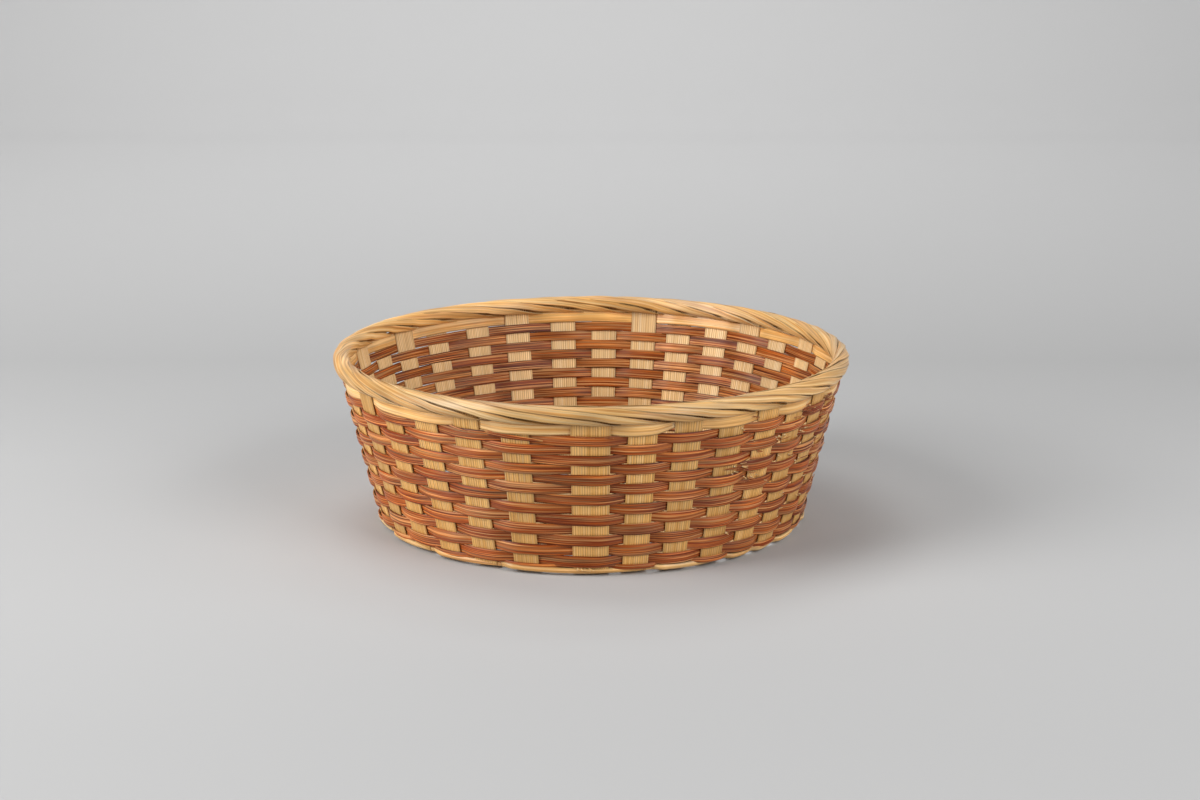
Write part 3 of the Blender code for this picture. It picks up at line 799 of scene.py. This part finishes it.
def build_splints():
    """Each long splint: a stake, the run across the base in its layer, and the stake opposite."""
    s = np.concatenate([
        np.linspace(s_on_base(RING_RADIUS), -BEND_LENGTH, RING_STEPS)[:-1],
        np.linspace(-BEND_LENGTH, 0, BEND_STEPS)[:-1], np.linspace(0, TIP_S, WALL_STEPS),
    ])
    start, number = 0, 1
    for layer, count in enumerate(SPLINT_GROUPS):
        group = range(start, start + count)
        axis = sum(turn_of(k) + turn_of(k + STAKES // 2) - pi for k in group) / (2 * count)
        for member in range(count):
            near, far = start + member, start + STAKES // 2 + count - 1 - member
            height = BASE_Z + layer * LAYER_STEP
            aside = (member - (count - 1) / 2) * MIDDLE_STEP
            points, faces, widths = [], [], []
            for stake, way in ((near, 1), (far, -1)):
                place, face, width = stake_run(stake, s)
                inner = at_turn(np.array([turn_of(stake)]), RING_RADIUS - RAMP_LENGTH, height)[0]
                middle = np.array([
                    way * MIDDLE_HALF_LENGTH * sin(axis) + aside * cos(axis),
                    -way * MIDDLE_HALF_LENGTH * cos(axis) + aside * sin(axis), height,
                ])
                flat = middle + (inner - middle) * np.linspace(0, 1, MIDDLE_STEPS)[:, None]
                # From its layer's height the splint eases down to the base ring
                ease = np.linspace(0, 1, RAMP_STEPS)[1:-1, None]
                ramp_run = inner + (place[0] - inner) * ease
                ramp_run[:, 2] = inner[2] + (place[0][2] - inner[2]) * (3 * ease**2 - 2 * ease**3)[:, 0]
                run = np.concatenate([flat, ramp_run, place])
                down = np.tile([0.0, 0.0, -1.0], (len(flat) + len(ramp_run), 1))
                tip = TIP_WIDTHS.min()
                narrow = np.interp(
                    np.arange(len(flat) + len(ramp_run)), (0, len(flat)),
                    (tip * SPLINT_MIDDLE_SHARE, tip * SPLINT_RING_SHARE),
                )
                # The near half runs from its tip to the middle, so it is turned round
                points.append(run[::-way])
                faces.append(np.concatenate([down, face])[::-way])
                widths.append(np.concatenate([narrow, width])[::-way])
            widest = max(w.max() for w in widths)
            path = {
                "points": np.concatenate(points), "faces": np.concatenate(faces),
                "shares": np.concatenate(widths) / widest, "tones": rng.uniform(*SPLINT_TONES),
            }
            name = f"splint_{number:02d}"
            ribs = round(widest / RIB_PITCH)
            piece = strip(
                name, [path], widest, STAKE_THICKNESS, STAKE, across=4 * ribs + 1,
                rib_pitch=widest / ribs, rib_height=RIB_HEIGHT,
            )
            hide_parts(name)
            number += 1
        start += count


def build_base_row():
    """The row that holds the splints under the base."""
    woven(
        "base_weaver", s_on_base(BASE_ROW_RADIUS), BASE_ROW_WIDTH, WEAVER_THICKNESS, STAKE,
        lambda stake: stake % 2 == 0, BASE_ROW_FIRST, STAKES + BASE_ROW_PAST,
        seed=220, roll=0.0, swell=0.0, cup=0.0,
    )


def build_foot():
    """Two thin strands that twist round the stakes where the base turns up."""
    u = np.linspace(FOOT_FIRST, FOOT_FIRST + STAKES - FOOT_SHORT, STAKES * FOOT_STEPS)
    crossings = sorted(c % STAKES + turn * STAKES for c in FOOT_CROSSINGS for turn in (0, 1, 2))
    number = np.searchsorted(crossings, u)
    low = np.array([crossings[k - 1] for k in number])
    high = np.array([crossings[k] for k in number])
    share = (u - low) / (high - low)
    near = np.minimum(u - low, high - u)
    swing = np.clip(near / FOOT_CROSS, 0, 1)
    for strand in (0, 1):
        way = np.where((number + strand) % 2 == 0, 1.0, -1.0)
        off = way * np.sin(pi / 2 * swing) * FOOT_STAND_OFF
        slide = np.where(way > 0, FOOT_SLIDE - 2 * FOOT_SLIDE * share, -FOOT_INSIDE)
        radius, z, rise = line(-BEND_LENGTH * FOOT_PLACE + smoothed(slide, np.ones(9), mode="edge"))
        turn = turn_at(u)
        face = np.maximum(rise, FOOT_FACE)
        lowest = FOOT_WIDTH / 2 * np.sin(face) + FOOT_THICKNESS / 2 * np.cos(face)
        drawn_up = FOOT_DRAWN_UP * (1 - 2 * near / (high - low)) ** 2
        place_z = np.maximum(z - off * np.cos(rise), lowest + FOOT_LIFT + drawn_up)
        points = at_turn(turn, radius + off * np.sin(rise), place_z)
        faces = at_turn(turn, np.sin(face), -np.cos(face))
        path = {
            "points": points, "faces": faces, "cups": FOOT_CUP * way * swing,
            "shares": 1 + drift(u, size=0.08, period=3.0, seed=400 + strand),
            "tones": FOOT_TONE_WITH_PAINTED_LIGHT + drift(u, size=0.2, period=5.0, seed=410 + strand),
        }
        name = f"foot_strand_{strand + 1}"
        piece = strip(name, [path], FOOT_WIDTH, FOOT_THICKNESS, RIM, across=7)
        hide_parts(name)


# Single frays: start and end, each as stakes from the front one and a height, then the width and
# how far each end stands off
BROWN_FRAYS = (
    (-1.6, 0.0695, -0.62, 0.0677, 0.0024, 0.0004, 0.0012),
    (-0.2, 0.0702, 0.08, 0.0697, 0.0005, 0.001, 0.0016),
    (0.2, 0.07, 0.44, 0.0695, 0.0005, 0.001, 0.0016),
    (4.85, 0.0728, 5.6, 0.0675, 0.0006, 0.0008, 0.002),
    (5.0, 0.0722, 5.85, 0.0662, 0.0005, 0.0008, 0.0024),
    (5.15, 0.0712, 5.7, 0.0692, 0.0005, 0.001, 0.002),
    (5.3, 0.0705, 5.95, 0.0694, 0.0004, 0.001, 0.0022),
    (-2.35, 0.0708, -1.9, 0.0692, 0.0009, 0.0008, 0.0014),
)
PALE_FRAYS = (
    (3.24, 0.0684, 3.31, 0.0674, 0.0009, 0.0008, 0.0014),
    (3.21, 0.0496, 3.28, 0.0486, 0.0009, 0.0008, 0.0014),
    (4.4, 0.0483, 4.48, 0.0475, 0.0008, 0.0008, 0.0014),
    (5.47, 0.0438, 5.56, 0.0428, 0.0008, 0.0008, 0.0014),
    (4.47, 0.0603, 4.56, 0.0593, 0.0008, 0.0008, 0.0014),
    (3.31, 0.0161, 3.39, 0.0151, 0.0008, 0.0008, 0.0014),
    (-0.2, 0.0046, -0.12, 0.0026, 0.0006, 0.0014, 0.0024),
    (-0.15, 0.0043, -0.04, 0.0028, 0.0006, 0.0014, 0.0025),
    (-0.09, 0.0041, 0.05, 0.0033, 0.0005, 0.0014, 0.0024),
    (-0.21, 0.0036, 0.0, 0.0024, 0.0006, 0.0015, 0.0026),
    (-0.03, 0.0044, 0.08, 0.0036, 0.0005, 0.0014, 0.0023),
)


def build_frays():
    """Torn fibres and cut tips that stand off the wall in a few places."""
    for name, drawn, count_at, length, finish, slot in (
        ("brown_frays", BROWN_FRAYS, 4, FRAY_BROWN_LONG, BROWN, "brown_bamboo"),
        ("pale_frays", PALE_FRAYS, 5, FRAY_PALE_LONG, RIM, "rim_bamboo"),
    ):
        rows = list(drawn)
        for patch in [patch for patch in ROUGH_PATCHES for _ in range(patch[count_at])]:
            start, z = rng.uniform(*patch[:2]), rng.uniform(*patch[2:4])
            end, end_z = start + rng.uniform(*length), z + rng.uniform(*FRAY_RISE)
            rows.append((start, z, end, end_z, rng.uniform(*FRAY_WIDE), FRAY_NEAR, rng.uniform(*FRAY_FAR)))
        widest = max(row[4] for row in rows)
        paths = []
        for start, start_z, end, end_z, width, near, far in rows:
            share = np.linspace(0, 1, 10)
            turn = turn_at(start + (end - start) * share)
            radius, z, rise = line(s_at_height(start_z + (end_z - start_z) * share))
            off = near + (far - near) * share**FRAY_CURL + FRAY_ARCH * np.sin(pi * share)
            paths.append({
                "points": at_turn(turn, radius + off * np.sin(rise), z - off * np.cos(rise)),
                "faces": at_turn(turn, np.sin(rise), -np.cos(rise)),
                "shares": width / widest * np.interp(share, *FRAY_POINTED),
                "tones": rng.uniform(*FRAY_TONES),
            })
        piece = strip(name, paths, widest, FRAY_THICKNESS, finish, across=5)


# Rim
def roll_place(angle, swell):
    """Radius and height on the roll's section at an angle, and its outward direction there."""
    c, s = np.cos(angle), np.sin(angle)
    n = (ROLL_HALF_WIDTH + swell) * np.sign(c) * np.abs(c) ** ROLL_POWER_SHARE
    v = ROLL_CENTRE_RISE + (ROLL_HALF_HEIGHT + swell) * np.sign(s) * np.abs(s) ** ROLL_POWER_SHARE
    radius = RIM_MID_RADIUS + v * sin(RIM_LEAN) + n * cos(RIM_LEAN)
    return radius, RIM_BASE_Z + v * cos(RIM_LEAN) - n * sin(RIM_LEAN), angle - RIM_LEAN


def build_rim():
    """Six strands, shingled, that wind round the hoops and the stake tips."""
    full_turns = STAKES // STRAND_STAKES
    for number in range(STRAND_STAKES):
        turns = full_turns + (1 if number < STAKES % STRAND_STAKES else 0)
        length = turns * STRAND_STAKES
        travel = np.linspace(STRAND_END, length - STRAND_END, length * STEPS_PER_STAKE)
        # Each strand passes through the wall in the middle between two stakes
        u = STRAND_FIRST + number + 0.5 + travel
        wander = drift(u, size=0.16, period=7.0, seed=500 + number)
        phase = (travel + wander * np.sin(pi * (travel % STRAND_STAKES) / STRAND_STAKES)) % STRAND_STAKES
        angle = np.unwrap(np.radians(np.interp(phase, ROLL_TRAVEL, ROLL_ANGLES)))
        angle = smoothed(angle, np.ones(13), mode="reflect", reflect_type="odd")
        radius, z, outward = roll_place(angle, drift(u, size=0.00012, period=3.0, seed=520 + number))
        turn = turn_at(u)
        points = at_turn(turn, radius, z)
        faces = at_turn(turn, np.cos(outward), np.sin(outward))
        tilt = STRAND_TILT + drift(u, size=STRAND_TILT_SPREAD, period=3.0, seed=540 + number)
        lean = np.cross(unit(np.gradient(points, axis=0)), faces)
        faces = faces * np.cos(tilt)[:, None] - lean * np.sin(tilt)[:, None]
        passing = np.minimum(phase, STRAND_STAKES - phase)
        shares = np.interp(passing, *STRAND_SHARES) + drift(u, size=0.1, period=3.0, seed=560 + number)
        # Rim strands also get painted light and shade by the place round the basket
        tones = 0.5 + drift(u, size=0.3, period=6.0, seed=580 + number) + np.interp(u % STAKES, *PAINTED_LIGHT_ROUND_RIM)
        path = {
            "points": points, "faces": faces, "shares": shares, "cups": STRAND_CUP,
            "tones": np.minimum(tones, RIM_TONE_MOST),
        }
        name = f"rim_strand_{number + 1}"
        piece = strip(name, [path], STRAND_WIDTH, STRAND_THICKNESS, RIM, across=10)
        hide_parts(name)


# Studio
def build_studio():
    """A seamless paper sweep: floor, curve and back wall in one sheet."""
    bends = [
        (FLOOR_BACK + SWEEP_RADIUS * sin(a), SWEEP_RADIUS * (1 - cos(a)))
        for a in np.linspace(0, pi / 2, 24)
    ]
    side_view = [(FLOOR_FRONT, 0.0)] + bends + [(FLOOR_BACK + SWEEP_RADIUS, WALL_TOP)]
    points = [(x, y, z) for y, z in side_view for x in (-SWEEP_HALF_WIDTH, SWEEP_HALF_WIDTH)]
    faces = [(2 * k, 2 * k + 1, 2 * k + 3, 2 * k + 2) for k in range(len(side_view) - 1)]
    mesh = bpy.data.meshes.new("paper_sweep")
    mesh.from_pydata(points, [], faces)
    mesh.shade_smooth()
    mesh.materials.append(paper_finish())
    sweep = bpy.data.objects.new("paper_sweep", mesh)
    bpy.context.scene.collection.objects.link(sweep)


def area_light(name, place, size, power, aim=CAMERA_AIM):
    """A soft square light that points at the basket, or at another place."""
    lamp = bpy.data.lights.new(name, "AREA")
    lamp.shape = "SQUARE"
    lamp.size = size
    lamp.energy = power
    light = bpy.data.objects.new(name, lamp)
    light.location = place
    light.rotation_euler = (aim - Vector(place)).to_track_quat("-Z", "Y").to_euler()
    bpy.context.scene.collection.objects.link(light)


def build_camera_and_light():
    """The camera of the photograph, soft lights from left and right, and one for the back wall."""
    scene = bpy.context.scene
    scene.view_settings.view_transform = "Standard"
    camera_data = bpy.data.cameras.new("camera")
    camera_data.lens = LENS_MM
    camera_data.sensor_width = SENSOR_MM
    camera = bpy.data.objects.new("camera", camera_data)
    ahead = Vector((0, cos(CAMERA_DOWN), -sin(CAMERA_DOWN)))
    camera.location = CAMERA_AIM - ahead * CAMERA_DISTANCE
    camera.rotation_euler = ahead.to_track_quat("-Z", "Y").to_euler()
    scene.collection.objects.link(camera)
    scene.camera = camera
    area_light("key_light", (-1.3, -0.5, 1.1), size=0.9, power=19)
    area_light("low_key_light", (-1.5, -0.8, 0.6), size=0.9, power=15.5)
    area_light("top_back_light", (-0.4, 0.35, 1.7), size=0.8, power=8)
    area_light("right_light", (1.5, -0.2, 0.8), size=1.2, power=6.3)
    area_light("right_front_light", (1.1, -1.15, 0.95), size=1.0, power=19.5)
    area_light("backdrop_light", (0, 0.9, 1.3), size=0.8, power=6, aim=Vector((0, 1.6, 0)))
    world = bpy.data.worlds.new("even studio light")
    world.use_nodes = True
    tree = world.node_tree
    background = tree.nodes["Background"]
    background.inputs["Color"].default_value = srgb("#D0D0D0")
    seen = add(tree, "ShaderNodeLightPath").outputs
    shown = seen["Is Camera Ray"]
    for other in ("Is Glossy Ray", "Is Transmission Ray"):
        shown = add(tree, "ShaderNodeMath", (shown, seen[other]), operation="MAXIMUM").outputs[0]
    strength = add(tree, "ShaderNodeMapRange", (shown, 0.0, 1.0, WORLD_LIGHT, WORLD_SHOWN)).outputs[0]
    tree.links.new(strength, background.inputs["Strength"])
    scene.world = world


build_splints()
build_rows()
build_collar()
build_base_row()
build_foot()
build_rim()
build_frays()
for hoop in ("rim_hoop_outer", "rim_hoop_inner"):
    nodes[hoop].data.materials.clear()
    nodes[hoop].data.materials.append(RIM)
build_studio()
build_camera_and_light()
